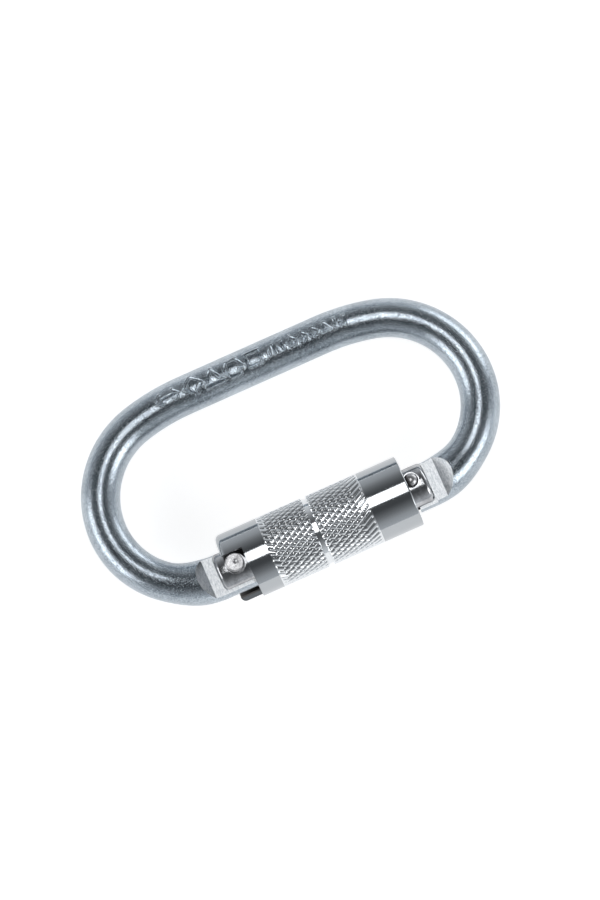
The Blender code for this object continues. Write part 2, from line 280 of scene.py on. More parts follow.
def bumpAt(tree, height, distance, under=None):
    bump = tree.nodes.new("ShaderNodeBump")
    bump.inputs["Strength"].default_value = 1.0
    bump.inputs["Distance"].default_value = distance
    link(tree, height, bump.inputs["Height"])
    if under is not None:
        link(tree, under, bump.inputs["Normal"])
    return bump.outputs["Normal"]


def mixAt(tree, factor, first, second):
    node = tree.nodes.new("ShaderNodeMix")
    node.data_type = "RGBA"
    link(tree, factor, node.inputs["Factor"])
    for socket, value in ((node.inputs["A"], first), (node.inputs["B"], second)):
        if isinstance(value, tuple):
            socket.default_value = (*value, 1.0)
        else:
            link(tree, value, socket)
    return node.outputs["Result"]


def setMetal(tree, shader, colour, roughness, normal):
    link(tree, colour, shader.inputs["Base Color"])
    link(tree, roughness, shader.inputs["Roughness"])
    link(tree, normal, shader.inputs["Normal"])


# in every look a pattern is scale, detail and roughness; streaks have a scale for each axis
noiseRange = (0.3, 0.7)  # most of a pattern lies between these

zincLook = {
    "bright": (0.485, 0.54, 0.59),
    "dull": (0.27, 0.31, 0.35),
    "toneRange": (0.41, 0.58),
    "roughness": (0.08, 0.18),
    "cloud": (90.0, 4.0, 0.6),
    "cloudInTone": 0.35,
    "cloudInRoughness": 0.4,
    "fleck": (3200.0, 2.0, 0.6),
    "wave": (420.0, 2.0, 0.5),
    "waveHeight": 0.010 * mm,
    "grain": (4000.0, 3.0, 0.6),
    "grainHeight": 0.036 * mm,
    "speckRange": (0.56, 0.74),  # only the top of the grain makes a speck
    "speckHeight": 0.010 * mm,
}


def makeZinc():
    look = zincLook
    material, tree, shader = nodeMaterial("zincPlate")
    coords = objectCoords(tree)
    grain = noiseAt(tree, coords, *look["grain"])
    wave = noiseAt(tree, coords, *look["wave"])
    cloud = noiseAt(tree, coords, *look["cloud"])
    fleck = noiseAt(tree, coords, *look["fleck"])
    colour = toneAt(tree, blendAt(tree, fleck, cloud, look["cloudInTone"]), look)
    spread = blendAt(tree, grain, cloud, look["cloudInRoughness"])
    roughness = rangeAt(tree, spread, *look["roughness"], *noiseRange)
    soft = bumpAt(tree, wave, look["waveHeight"])
    grained = bumpAt(tree, grain, look["grainHeight"], soft)
    specks = rangeAt(tree, grain, 0.0, 1.0, *look["speckRange"])
    normal = bumpAt(tree, specks, look["speckHeight"], grained)
    setMetal(tree, shader, colour, roughness, normal)
    return material


milledLook = {
    "bright": (0.92, 0.94, 0.96),
    "dull": (0.50, 0.54, 0.58),
    "toneRange": (0.32, 0.62),
    "roughness": (0.28, 0.46),
    "fleck": ((3400.0, 1200.0, 1200.0), 4.0, 0.75),
    "fleckHeight": 0.035 * mm,
    "cutMarks": ((5200.0, 260.0, 260.0), 2.0, 0.5),
    "cutHeight": 0.012 * mm,
}


def makeMilled():
    look = milledLook
    material, tree, shader = nodeMaterial("milledZinc")
    coords = objectCoords(tree)
    fleck = streaksAt(tree, coords, *look["fleck"])
    cutMarks = streaksAt(tree, coords, *look["cutMarks"])
    roughness = rangeAt(tree, fleck, *look["roughness"])
    soft = bumpAt(tree, cutMarks, look["cutHeight"])
    normal = bumpAt(tree, fleck, look["fleckHeight"], soft)
    setMetal(tree, shader, toneAt(tree, fleck, look), roughness, normal)
    return material


def radiusFromAxis(tree, coords):
    split = tree.nodes.new("ShaderNodeSeparateXYZ")
    link(tree, coords, split.inputs["Vector"])
    y = mathAt(tree, "SUBTRACT", split.outputs["Y"], gateAxis.y)
    z = mathAt(tree, "SUBTRACT", split.outputs["Z"], gateAxis.z)
    square = mathAt(tree, "ADD", mathAt(tree, "MULTIPLY", y, y), mathAt(tree, "MULTIPLY", z, z))
    return mathAt(tree, "SQRT", square), split.outputs["X"]


sleeveLook = {
    "plated": (0.43, 0.45, 0.47),
    # painted highlight: the knurled band gets a brighter tone that stands in for the lamp light its
    # facets catch
    "knurlPaintedHighlight": (0.73, 0.75, 0.77),
    "knurlFrom": -14.8 * mm,
    "knurlTo": 12.5 * mm,
    "knurlEdge": 0.1 * mm,
    "inside": (0.16, 0.155, 0.15),
    "insideRadius": 8.15 * mm,
    "outsideRadius": 8.35 * mm,
    "roughness": (0.07, 0.15),
    "insideRoughness": 0.5,
    "turning": ((9000.0, 60.0, 60.0), 2.0, 0.6),
    "turningHeight": 0.0012 * mm,
    "speck": (2800.0, 2.0, 0.5),
    "speckRange": (0.3, 0.75),
    "speckHeight": 0.0022 * mm,
}


def makeSleeveMetal():
    look = sleeveLook
    material, tree, shader = nodeMaterial("polishedPlateAndKnurlHighlight")
    coords = objectCoords(tree)
    radius, along = radiusFromAxis(tree, coords)
    outside = rangeAt(tree, radius, 0.0, 1.0, look["insideRadius"], look["outsideRadius"])
    left, right, edge = look["knurlFrom"], look["knurlTo"], look["knurlEdge"]
    pastLeft = rangeAt(tree, along, 0.0, 1.0, left - edge, left)
    pastRight = rangeAt(tree, along, 0.0, 1.0, right + edge, right)
    # mask of the knurled band, where the painted highlight tone goes
    knurlPaintedHighlight = mathAt(tree, "MULTIPLY", pastLeft, pastRight)
    # plain plating, with the knurled band painted brighter as a highlight
    plateWithKnurlHighlight = mixAt(tree, knurlPaintedHighlight, look["plated"], look["knurlPaintedHighlight"])
    colour = mixAt(tree, outside, look["inside"], plateWithKnurlHighlight)
    turning = streaksAt(tree, coords, *look["turning"])
    speck = noiseAt(tree, coords, *look["speck"])
    plated = rangeAt(tree, speck, *look["roughness"], *look["speckRange"])
    inside = mathAt(tree, "SUBTRACT", 1.0, outside)
    bare = mathAt(tree, "MULTIPLY", inside, look["insideRoughness"])
    roughness = mathAt(tree, "ADD", mathAt(tree, "MULTIPLY", plated, outside), bare)
    turned = bumpAt(tree, turning, look["turningHeight"])
    normal = bumpAt(tree, speck, look["speckHeight"], turned)
    setMetal(tree, shader, colour, roughness, normal)
    return material


turnedLook = {
    "bright": (0.52, 0.53, 0.55),
    "dull": (0.30, 0.305, 0.315),
    "toneRange": (0.3, 0.7),
    "roughness": (0.10, 0.24),
    "cloud": (500.0, 3.0, 0.6),
    "rings": ((7000.0, 90.0, 90.0), 3.0, 0.6),
    "ringHeight": 0.006 * mm,
}


def makeTurnedSteel():
    look = turnedLook
    material, tree, shader = nodeMaterial("turnedSteel")
    coords = objectCoords(tree)
    rings = streaksAt(tree, coords, *look["rings"])
    cloud = noiseAt(tree, coords, *look["cloud"])
    roughness = rangeAt(tree, rings, *look["roughness"], *noiseRange)
    normal = bumpAt(tree, rings, look["ringHeight"])
    setMetal(tree, shader, toneAt(tree, cloud, look), roughness, normal)
    return material


rivetLook = {
    "bright": (0.56, 0.56, 0.57),
    "dull": (0.38, 0.38, 0.39),
    "toneRange": (0.3, 0.65),
    "roughness": (0.22, 0.38),
    "dents": (1300.0, 3.0, 0.6),
    "dentHeight": 0.02 * mm,
    "grain": (5200.0, 2.0, 0.5),
    "grainHeight": 0.006 * mm,
}


def makeRivetSteel():
    look = rivetLook
    material, tree, shader = nodeMaterial("rivetSteel")
    coords = objectCoords(tree)
    dents = noiseAt(tree, coords, *look["dents"])
    grain = noiseAt(tree, coords, *look["grain"])
    roughness = rangeAt(tree, grain, *look["roughness"], *noiseRange)
    soft = bumpAt(tree, dents, look["dentHeight"])
    normal = bumpAt(tree, grain, look["grainHeight"], soft)
    setMetal(tree, shader, toneAt(tree, dents, look), roughness, normal)
    return material


springLook = {
    "bright": (0.30, 0.30, 0.31),
    "dull": (0.17, 0.17, 0.18),
    "toneRange": (0.3, 0.7),
    "roughness": (0.25, 0.42),
    "grain": (1500.0, 4.0, 0.6),
    "grainHeight": 0.006 * mm,
}


def makeSpringSteel():
    look = springLook
    material, tree, shader = nodeMaterial("springSteel")
    grain = noiseAt(tree, objectCoords(tree), *look["grain"])
    roughness = rangeAt(tree, grain, *look["roughness"], *noiseRange)
    normal = bumpAt(tree, grain, look["grainHeight"])
    setMetal(tree, shader, toneAt(tree, grain, look), roughness, normal)
    return material


zincPlate = makeZinc()
milledZinc = makeMilled()
polishedPlateAndKnurlHighlight = makeSleeveMetal()
turnedSteel = makeTurnedSteel()
rivetSteel = makeRivetSteel()
springSteel = makeSpringSteel()
print("materials ready")


# bent bar

bar = {
    "radius": 5.0 * mm,
    "tenonRadius": 5.8 * mm,
    "bowRadius": 23.2 * mm,
    "shoulderAngle": math.radians(75.6),
    "widestY": 0.7 * mm,
    "swellFrom": 42.0 * mm,  # the lower arms thicken between these
    "swellTo": 32.0 * mm,
    "step": 0.55 * mm,
    "tenonStep": 0.6 * mm,
    "hingeTip": -15.5 * mm,
    "flatHalf": 2.8 * mm,
    "flatEnd": 31.5 * mm,
    "flatInner": 12.0 * mm,
    "flatReach": 8.0 * mm,
    "flatPast": 1.0 * mm,
    "flatRun": {-1: 0.84, 1: 1.19},  # slope of the run-out on the left and on the right
    "noseHalf": 2.1 * mm,
    "noseTip": 23.4 * mm,
    "noseShoulder": 29.0 * mm,
    "pocketAngle": math.radians(9),
    "pocketPast": (44.0 * mm, 10.0 * mm),
    "pocketDepth": 7.0 * mm,
    "tipReach": 47.94 * mm,
    "tipAngle": math.radians(12.5),
    "tipInner": (45.0 * mm, 10.4 * mm),
    "seatRadius": 1.9 * mm,
    "seatTop": 10.0 * mm,
    "camRadius": 5.4 * mm,
    "camRise": 1.6 * mm,
    "camTop": math.radians(60),
    "camLow": math.radians(-25),
    "camPast": (14.0 * mm, 10.0 * mm),
    "heel": (3.2 * mm, -6.4 * mm),
    "pinHole": 2.1 * mm,
    "coarseColumns": 56,
    "markColumns": 84,
    "smoothAngle": 28,
}
halfLength = bodyHigh.x
spineY = bodyHigh.y - bar["radius"]
tenonY = bodyLow.y + bar["tenonRadius"]


# centreline of the +X half, from the spine's middle to the tenon
def halfCentreline():
    step = bar["step"]
    widestX = halfLength - bar["radius"]
    angle, bow = bar["shoulderAngle"], bar["bowRadius"]
    shoulder = (spineY - bar["widestY"] - bow * math.sin(angle)) / (1 - math.sin(angle))
    bowCentre = (widestX - bow, bar["widestY"])
    shoulderCentre = (
        bowCentre[0] + (bow - shoulder) * math.cos(angle),
        bowCentre[1] + (bow - shoulder) * math.sin(angle),
    )
    low = bar["widestY"] - tenonY
    lowCentre = (widestX - low, bar["widestY"])
    line = [(x, spineY) for x in np.linspace(0, shoulderCentre[0], 12)[:-1]]
    line += arc(shoulderCentre, shoulder, math.pi / 2, angle, 14)
    line += arc(bowCentre, bow, angle, 0, int(bow * angle / step))[1:]
    line += arc(lowCentre, low, 0, -math.pi / 2, int(low * math.pi / 2 / step))[1:]
    return line


def barRadius(x, y):
    if y > bar["widestY"]:
        return bar["radius"]
    share = (bar["swellFrom"] - abs(x)) / (bar["swellFrom"] - bar["swellTo"])
    share = min(max(share, 0.0), 1.0)
    return bar["radius"] + (bar["tenonRadius"] - bar["radius"]) * share * share * (3 - 2 * share)


stamp = {
    "halfLength": 26.6 * mm,
    "step": 0.13 * mm,
    "low": math.radians(48),
    "high": math.radians(118),
    "middle": math.radians(84),
    "fadeAngle": 0.06,
    "endGap": 0.3 * mm,
    "spineBand": 2.0 * mm,
    "strokeHalf": 0.24 * mm,
    "depth": 0.27 * mm,
    "lip": 0.06 * mm,
    "wall": (0.35, 1.3),  # where the groove's wall starts and how wide it is, in half strokes
    "crest": (2.2, 0.8),  # where the lip is highest and how wide it is, in half strokes
}


# plain geometric figures, as strokes in mm along and across the spine
def stampedStrokes():
    strokes = []

    def path(points, closed=False):
        ends = points[1:] + points[:1] if closed else points[1:]
        strokes.extend(zip(points, ends))

    def figure(x, y, sides, size, turn, tall=1.0):
        angles = [turn + 2 * math.pi * i / sides for i in range(sides)]
        path([(x + size * math.cos(a), y + tall * size * math.sin(a)) for a in angles], closed=True)

    # double-headed arrow along the loaded axis
    path([(-25.6, 0.0), (-19.6, 0.0)])
    path([(-24.3, 1.3), (-25.6, 0.0), (-24.3, -1.3)])
    path([(-20.9, 1.3), (-19.6, 0.0), (-20.9, -1.3)])
    # lozenge, triangle, hexagon and a square on its corner
    figure(-15.6, 0.0, 4, 2.5, 0.0)
    figure(-10.2, -0.6, 3, 2.8, math.pi / 2)
    figure(-4.6, 0.0, 6, 2.4, 0.0)
    figure(1.0, 0.0, 4, 2.5, math.pi / 4, 0.95)
    # small row: ticks, lozenges, triangle, ticks
    for i in range(4):
        path([(5.4 + 1.2 * i, -1.1), (5.4 + 1.2 * i, 1.1 if i % 2 else 0.0)])
    for i in range(3):
        figure(11.6 + 2.9 * i, 0.0, 4, 1.15, 0.0)
    path([(19.4, -1.0), (20.6, 1.1), (21.8, -1.0)], closed=True)
    for i in range(3):
        path([(23.4 + 1.2 * i, -1.1), (23.4 + 1.2 * i, 0.0 if i % 2 else 1.1)])
    return np.array(strokes) * mm


def stampDepth(along, across):
    away = np.full(along.shape, 1.0)
    for (ax, ay), (bx, by) in stampedStrokes():
        dx, dy = bx - ax, by - ay
        share = np.clip(((along - ax) * dx + (across - ay) * dy) / (dx * dx + dy * dy), 0, 1)
        away = np.minimum(away, np.hypot(along - ax - share * dx, across - ay - share * dy))
    half = stamp["strokeHalf"]
    wallFrom, wallWidth = stamp["wall"]
    crestAt, crestWidth = stamp["crest"]
    wall = np.clip((away - half * wallFrom) / (half * wallWidth), 0, 1)
    groove = -stamp["depth"] * (1 - wall * wall * (3 - 2 * wall))
    lip = stamp["lip"] * np.exp(-(((away - half * crestAt) / (half * crestWidth)) ** 2))
    return groove + lip


# from the hinge end round the loop to the nose, in fine steps under the marks
def wholeCentreline():
    half = halfCentreline()
    right = [p for p in half if p[0] > stamp["halfLength"] or p[1] < 0]
    left = [(-x, y) for x, y in right[::-1]]
    fine = np.array(half)
    top = fine[fine[:, 1] > spineY - stamp["spineBand"]]
    straight = np.arange(-stamp["halfLength"], stamp["halfLength"] + stamp["step"] / 2, stamp["step"])
    middle = [(x, float(np.interp(abs(x), top[:, 0], top[:, 1]))) for x in straight]
    step = bar["tenonStep"]
    hingeTip = [(x, tenonY) for x in np.arange(bar["hingeTip"], left[0][0], -step)]
    noseTip = [(x, tenonY) for x in np.arange(right[-1][0] - step, bar["noseTip"], -step)]
    noseTip.append((bar["noseTip"], tenonY))
    return hingeTip + left + middle + right + noseTip


# how far the stamped marks move each point of the bar's skin
def markShift(spots, angles):
    onSpine = spots[:, 1] > spineY - stamp["spineBand"]
    onSpine &= abs(spots[:, 0]) < stamp["halfLength"] - stamp["endGap"]
    rows = np.where(onSpine)[0]
    columns = np.where(angles <= stamp["high"])[0]
    patch = angles[columns]
    across = (stamp["middle"] - patch) * bar["radius"]
    gridAlong = np.repeat(spots[rows, 0][:, None], len(columns), 1)
    gridAcross = np.repeat(across[None, :], len(rows), 0)
    fromEdge = np.minimum(patch - stamp["low"], stamp["high"] - patch)
    fade = np.minimum(1, fromEdge / stamp["fadeAngle"])
    shift = np.zeros((len(spots), len(angles)))
    shift[np.ix_(rows, columns)] = stampDepth(gridAlong, gridAcross) * fade[None, :]
    return shift


def barMesh():
    line = wholeCentreline()
    spots = np.array(line)
    along = np.gradient(spots, axis=0)
    along /= np.linalg.norm(along, axis=1)[:, None]
    outward = np.c_[-along[:, 1], along[:, 0]]
    fineAngles = np.linspace(stamp["low"], stamp["high"], bar["markColumns"] + 1)
    coarse = np.linspace(stamp["high"], stamp["low"] + 2 * math.pi, bar["coarseColumns"] + 1)[1:-1]
    angles = np.r_[fineAngles, coarse]
    radii = np.array([barRadius(x, y) for x, y in line])
    ringRadius = radii[:, None] + markShift(spots, angles)
    rings = []
    for spot, out, ring in zip(spots, outward, ringRadius):
        flat, lift = ring * np.cos(angles), ring * np.sin(angles)
        rings.append(list(zip(spot[0] + out[0] * flat, spot[1] + out[1] * flat, midZ + lift)))
    mesh = ringSurface("bentBar", rings)
    faceOut(mesh)
    return mesh


# above and below both tenons, with a sloped run-out at the thick end
def flatTools():
    tools = []
    rise = bar["tenonRadius"] + bar["flatPast"]
    onTenon = Matrix.Translation((0, tenonY, midZ)) @ alongY
    for side in (-1, 1):
        slope = (rise - bar["flatHalf"]) * bar["flatRun"][side]
        for top in (-1, 1):
            outline = [
                (side * (bar["flatEnd"] + slope), top * rise),
                (side * bar["flatEnd"], top * bar["flatHalf"]),
                (side * bar["flatInner"], top * bar["flatHalf"]),
                (side * bar["flatInner"], top * rise),
            ]
            tools.append((prismMesh(outline, -bar["flatReach"], bar["flatReach"]), onTenon))
    return tools


# thins the nose above and below, up to a shoulder that is round about the hinge
def noseTools():
    tools = []
    reach, spread = bar["noseShoulder"] - hingeAt.x, bar["pocketAngle"]
    pastX, pastY = bar["pocketPast"]
    pocket = [*arc((0, 0), reach, -spread, spread, 25), (pastX, pastY), (pastX, -pastY)]
    for top in (-1, 1):
        low, high = sorted((top * bar["noseHalf"], top * bar["pocketDepth"]))
        tools.append((prismMesh(pocket, low, high), Matrix.Translation(hingeAt)))
    return tools


# rounds the nose's end about the hinge
def tipTool():
    innerX, innerY = bar["tipInner"]
    outline = arc((0, 0), bar["tipReach"], -bar["tipAngle"], bar["tipAngle"], 31)
    outline += [(innerX, innerY), (innerX, -innerY)]
    return prismMesh(outline, -cutReach, cutReach), Matrix.Translation(hingeAt)


# shapes the hinge end as a cam with a flat heel under it
def camTool():
    cam = []
    for angle in np.linspace(bar["camLow"], bar["camTop"], 33):
        out = bar["camRadius"] + bar["camRise"] * angle
        cam.append((out * math.cos(angle), out * math.sin(angle)))
    heelX, heelY = bar["heel"]
    pastX, pastY = bar["camPast"]
    outline = [(heelX, -pastY), (heelX, heelY), *cam]
    outline += [(cam[-1][0], pastY), (pastX, pastY), (pastX, -pastY)]
    return prismMesh(outline, -cutReach, cutReach), Matrix.Translation(hingeAt)


# the open seat for the latch pin
def seatTool():
    half, top = bar["seatRadius"], bar["seatTop"]
    outline = [(half, top), *arc((0, 0), half, 0, -math.pi, 25), (-half, top)]
    return prismMesh(outline, -cutReach, cutReach), Matrix.Translation(latchAt)


def barTools():
    pinHole = rodMesh(bar["pinHole"], -cutReach, cutReach), Matrix.Translation(hingeAt)
    return [*flatTools(), *noseTools(), tipTool(), camTool(), seatTool(), pinHole]


milledFaces = {
    "lean": 0.004,
    "upward": 0.6,
    "aboveTenon": 8.0 * mm,
    "fromMiddle": 36.0 * mm,
    "smallest": 0.3 * mm * mm,
}


# faces of the milled flats get their own finish
def assignMilled(obj):
    obj.data.materials.append(zincPlate)
    obj.data.materials.append(milledZinc)
    for face in obj.data.polygons:
        level = abs(face.normal.y) < milledFaces["lean"] and abs(face.normal.z) > milledFaces["upward"]
        low = face.center.y < tenonY + milledFaces["aboveTenon"]
        near = abs(face.center.x) < milledFaces["fromMiddle"]
        if level and low and near and face.area > milledFaces["smallest"]:
            face.material_index = 1


def makeBar():
    obj = newObject("bentBar", barMesh())
    cutAway(obj, barTools())
    assignMilled(obj)
    smooth(obj, bar["smoothAngle"])
    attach(obj, "frame_bar")
    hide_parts("body")
    report("bent bar", obj)


makeBar()


# gate barrel

barrel = {
    "edge": 1.2 * mm,
    "hingeFloor": -16.9 * mm,
    "hingeHalf": 3.1 * mm,
    "noseFloor": 17.0 * mm,
    "noseHalf": 2.4 * mm,
    "slotPast": 32.0 * mm,
    "slotReach": 8.0 * mm,
    "latchHole": 1.9 * mm,
    "spotGap": 0.3 * mm,
    "hingeSpot": 4.9 * mm,
    "latchSpot": 4.4 * mm,
    "bore": 1.8 * mm,
    "boreStart": -20.0 * mm,
    "boreEnd": -3.7 * mm,
    "columns": 160,
    "smoothAngle": 28,
}
barrelRadius = (barrelHigh.y - barrelLow.y) / 2


def slotTool(x0, x1, half):
    outline = [(x0, -half), (x1, -half), (x1, half), (x0, half)]
    reach = barrel["slotReach"]
    return prismMesh(outline, -reach, reach), Matrix.Translation(gateAxis) @ alongY


# a pin's hole with a flat spot for its head at each end
def holeTools(hole, head, spot, place):
    rods = [(hole, -cutReach, cutReach), (head, spot, cutReach), (head, -cutReach, -spot)]
    return [(rodMesh(*rod), place) for rod in rods]


def barrelTools():
    hingeSpot, latchSpot = hingeHead + barrel["spotGap"], latchHead + barrel["spotGap"]
    atHinge, atLatch = Matrix.Translation(hingeAt), Matrix.Translation(latchAt)
    springBore = rodMesh(barrel["bore"], barrel["boreStart"], barrel["boreEnd"])
    return [
        slotTool(-barrel["slotPast"], barrel["hingeFloor"], barrel["hingeHalf"]),
        slotTool(barrel["noseFloor"], barrel["slotPast"], barrel["noseHalf"]),
        *holeTools(bar["pinHole"], hingeSpot, barrel["hingeSpot"], atHinge),
        *holeTools(barrel["latchHole"], latchSpot, barrel["latchSpot"], atLatch),
        (springBore, Matrix.Translation(gateAxis) @ alongX),
    ]


def makeBarrel():
    edge, r = barrel["edge"], barrelRadius
    left, right = barrelLow.x + edge, barrelHigh.x - edge
    profile = arc((r - edge, right), edge, math.pi / 2, 0, 10)
    profile += [(r, x) for x in np.linspace(right, left, 8)[1:-1]]
    profile += arc((r - edge, left), edge, 0, -math.pi / 2, 10)
    mesh = turnedMesh("gateBarrel", profile, barrel["columns"])
    mesh.transform(Matrix.Translation(gateAxis) @ alongX)
    obj = newObject("gateBarrel", mesh)
    cutAway(obj, barrelTools())
    obj.data.materials.append(turnedSteel)
    smooth(obj, barrel["smoothAngle"])
    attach(obj, "gate")
    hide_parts("gate_barrel")
    report("gate barrel", obj)


makeBarrel()


# pins

pins = {
    "core": 0.02 * mm,  # the turned profiles stop this far from the axis
    "shank": 1.8 * mm,
    "headBase": 5.2 * mm,
    "edge": 0.3 * mm,
    "dimple": 0.5 * mm,
    "dimpleDepth": 0.45 * mm,
    "dimpleSteps": [(0.5, 0.36 * mm), (0.9, 0.09 * mm), (1.1, 0.03 * mm), (1.4, 0.02 * mm)],
    "dimpleRing": 1.5,
    "dimpleShift": (0.22 * mm, 0.12 * mm),
    "faceRings": (0.9, 0.98),
    "latchShank": 1.6 * mm,
    "latchBase": 4.7 * mm,
    "latchSkirt": 0.3 * mm,
    "columns": 96,
    "smoothAngle": 40,
}


def hingePinProfile(top, rear):
    r, edge, base = hingeHead, pins["edge"], pins["headBase"]
    profile = [(pins["core"], top - pins["dimpleDepth"])]
    profile += [(pins["dimple"] * out, top - down) for out, down in pins["dimpleSteps"]]
    profile += [((r - edge) * share, top) for share in pins["faceRings"]]
    profile += arc((r - edge, top - edge), edge, math.pi / 2, 0, 7)
    profile += [(r, base), (pins["shank"], base), (pins["shank"], -base), (r, -base)]
    profile += arc((r - edge, rear + edge), edge, 0, -math.pi / 2, 6)
    profile += [(pins["core"], rear)]
    return profile


def makeHingePin():
    top, rear = pinHigh.z - midZ, pinLow.z - midZ
    mesh = turnedMesh("hingePin", hingePinProfile(top, rear), pins["columns"])
    reach = pins["dimple"] * pins["dimpleRing"]
    for point in mesh.vertices:
        if point.co.z > top - pins["edge"] and math.hypot(point.co.x, point.co.y) < reach:
            point.co.x += pins["dimpleShift"][0]  # struck off centre
            point.co.y += pins["dimpleShift"][1]
    mesh.transform(Matrix.Translation(hingeAt))
    obj = newObject("hingePin", mesh)
    obj.data.materials.append(rivetSteel)
    smooth(obj, pins["smoothAngle"])
    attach(obj, "gate")
    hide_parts("hinge_pin")
    report("hinge pin", obj)


def makeLatchPin():
    r, base = latchHead, pins["latchBase"]
    foot = base + pins["latchSkirt"]
    rise = latchHigh.z - midZ - base - pins["latchSkirt"]
    half = [
        (max(r * math.cos(a), pins["core"]), foot + rise * math.sin(a))
        for a in np.linspace(math.pi / 2, 0, 14)
    ]
    half += [(r, base), (pins["latchShank"], base)]
    profile = half + [(x, -z) for x, z in half[::-1]]
    mesh = turnedMesh("latchPin", profile, pins["columns"])
    mesh.transform(Matrix.Translation(latchAt))
    obj = newObject("latchPin", mesh)
    obj.data.materials.append(rivetSteel)
    smooth(obj, pins["smoothAngle"])
    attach(obj, "gate")
    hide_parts("latch_pin")
    report("latch pin", obj)


makeHingePin()
makeLatchPin()


# lock sleeve

sleeve = {
    "bore": 7.75 * mm,
    "boreEdge": 0.15 * mm,
    "land": 6.0 * mm,
    "landX": -2.0 * mm,
    "counterbore": 6.9 * mm,
    "counterboreX": 21.2 * mm,
    "softEdge": 1.4 * mm,
    "smallEdge": 0.35 * mm,
    "groove": (-2.5 * mm, -1.25 * mm, 0.5 * mm),
    "grooveEdge": 0.10 * mm,
    "notchEnd": -20.6 * mm,
    "notchUpperY": 2.8 * mm,
    "notchLower": math.radians(-119),
    "notchFrom": math.radians(105),
    "notchPast": 4.0 * mm,
    "smoothAngle": 35,
}
sleeveRadius = (sleeveHigh.z - sleeveLow.z) / 2

knurl = {
    "around": 37,
    "repeat": 2.72 * mm,
    "depth": 0.36 * mm,
    "columnsPerRepeat": 11,
    "rowsPerRepeat": 17,
    "rowGap": 0.12 * mm,
    "skin": 0.01 * mm,
    "power": 1.25,
    "risingWidth": 0.58,
    "fallingWidth": 0.50,
    "fallingShare": 0.72,
    "hairWidth": 0.5,
    "hairShare": 0.24,
    "risingFade": 0.4 * mm,
    "fallingFade": (0.3 * mm, 0.5 * mm),
}
# each family of grooves runs out at its own end of the double band
bands = [
    {"low": -14.8 * mm, "high": -2.5 * mm, "riseFrom": 1.15 * mm, "riseEnd": 0.12 * mm, "fallTo": 0.0},
    {"low": -1.25 * mm, "high": 12.4 * mm, "riseFrom": 0.0, "riseEnd": 0.5 * mm, "fallTo": 2.3 * mm},
]


# depth of one family of grooves; phase runs from one groove to the next
def grooveDepth(phase, width):
    away = np.abs((phase + 0.5) % 1.0 - 0.5) * 2
    return np.clip(1 - away / width, 0, 1) ** knurl["power"]


def fade(distance, start, length):
    return np.clip((distance - start) / length, 0, 1)


def knurlHeight(x, angle):
    turns = angle / (2 * math.pi) * knurl["around"]
    rising = x / knurl["repeat"] + turns
    falling = x / knurl["repeat"] - turns
    fallingIn, fallingOut = knurl["fallingFade"]
    depth = np.zeros_like(x)
    for band in bands:
        inside = (x >= band["low"]) & (x <= band["high"])
        fromLow, fromHigh = x - band["low"], band["high"] - x
        risingFade = fade(fromHigh, 0.0, band["riseEnd"])
        risingFade = risingFade * fade(fromLow, band["riseFrom"], knurl["risingFade"])
        fallingFade = fade(fromHigh, band["fallTo"], fallingOut) * fade(fromLow, 0.0, fallingIn)
        first = grooveDepth(rising, knurl["risingWidth"]) * risingFade
        second = grooveDepth(falling, knurl["fallingWidth"]) * knurl["fallingShare"] * fallingFade
        hair = grooveDepth(falling * 2 + 0.5, knurl["hairWidth"]) * knurl["hairShare"] * fallingFade
        depth = np.where(inside, np.maximum(np.maximum(first, second), hair), depth)
    return -knurl["depth"] * depth


def bandRows(band):
    step = knurl["repeat"] / knurl["rowsPerRepeat"]
    count = int((band["high"] - band["low"]) / step)
    return [(sleeveRadius, x) for x in np.linspace(band["low"], band["high"], count)[1:]]


# the sleeve's section, as (radius, x) points
def sleeveRows():
    r, soft, small = sleeveRadius, sleeve["softEdge"], sleeve["smallEdge"]
    left, right = sleeveLow.x, sleeveHigh.x
    gap = knurl["rowGap"]
    grooveLeft, grooveRight, grooveDeep = sleeve["groove"]
    grooveEdge = sleeve["grooveEdge"]
    bore, land, wide, edge = sleeve["bore"], sleeve["land"], sleeve["counterbore"], sleeve["boreEdge"]
    rows = arc((r - soft, left + soft), soft, -math.pi / 2, 0, 14)
    rows += [(r, x) for x in np.linspace(left + soft, bands[0]["low"] - gap, 8)[1:]]
    rows += [(r, bands[0]["low"]), *bandRows(bands[0])]
    rows += [(r - grooveDeep, grooveLeft + grooveEdge), (r - grooveDeep, grooveRight - grooveEdge)]
    rows += [(r, grooveRight), *bandRows(bands[1])]
    rows += [(r, x) for x in np.linspace(bands[1]["high"] + gap, right - small - gap, 8)]
    rows += [(r, right - small), *arc((r - small, right - small), small, 0, math.pi / 2, 7)[1:]]
    rows += [(wide + edge, right), (wide, right - edge)]
    rows += [(wide, sleeve["counterboreX"]), (land, sleeve["counterboreX"])]
    rows += [(land, sleeve["landX"]), (bore, sleeve["landX"]), (bore, left + edge), (bore + edge, left)]
    return rows


def notchTool():
    outline = [(sleeve["notchUpperY"], 0), (sleeve["notchUpperY"], cutReach)]
    outline += arc((0, 0), cutReach, sleeve["notchFrom"], math.pi / 2 - sleeve["notchLower"], 14)
    outline += [(0, 0)]
    low = sleeveLow.x - sleeve["notchPast"]
    return prismMesh(outline, low, sleeve["notchEnd"]), Matrix.Translation(gateAxis) @ alongX


def sleeveMesh():
    columns = knurl["around"] * knurl["columnsPerRepeat"]
    angles = np.arange(columns) * 2 * math.pi / columns
    rings = []
    for radius, x in sleeveRows():
        xs, ring = np.full(columns, x), np.full(columns, radius)
        if radius > sleeveRadius - knurl["skin"]:
            ring = ring + knurlHeight(xs, angles)
        ys, zs = gateAxis.y + ring * np.cos(angles), gateAxis.z + ring * np.sin(angles)
        rings.append(list(zip(xs, ys, zs)))
    mesh = ringSurface("lockSleeve", rings, loop=True)
    faceOut(mesh)
    return mesh


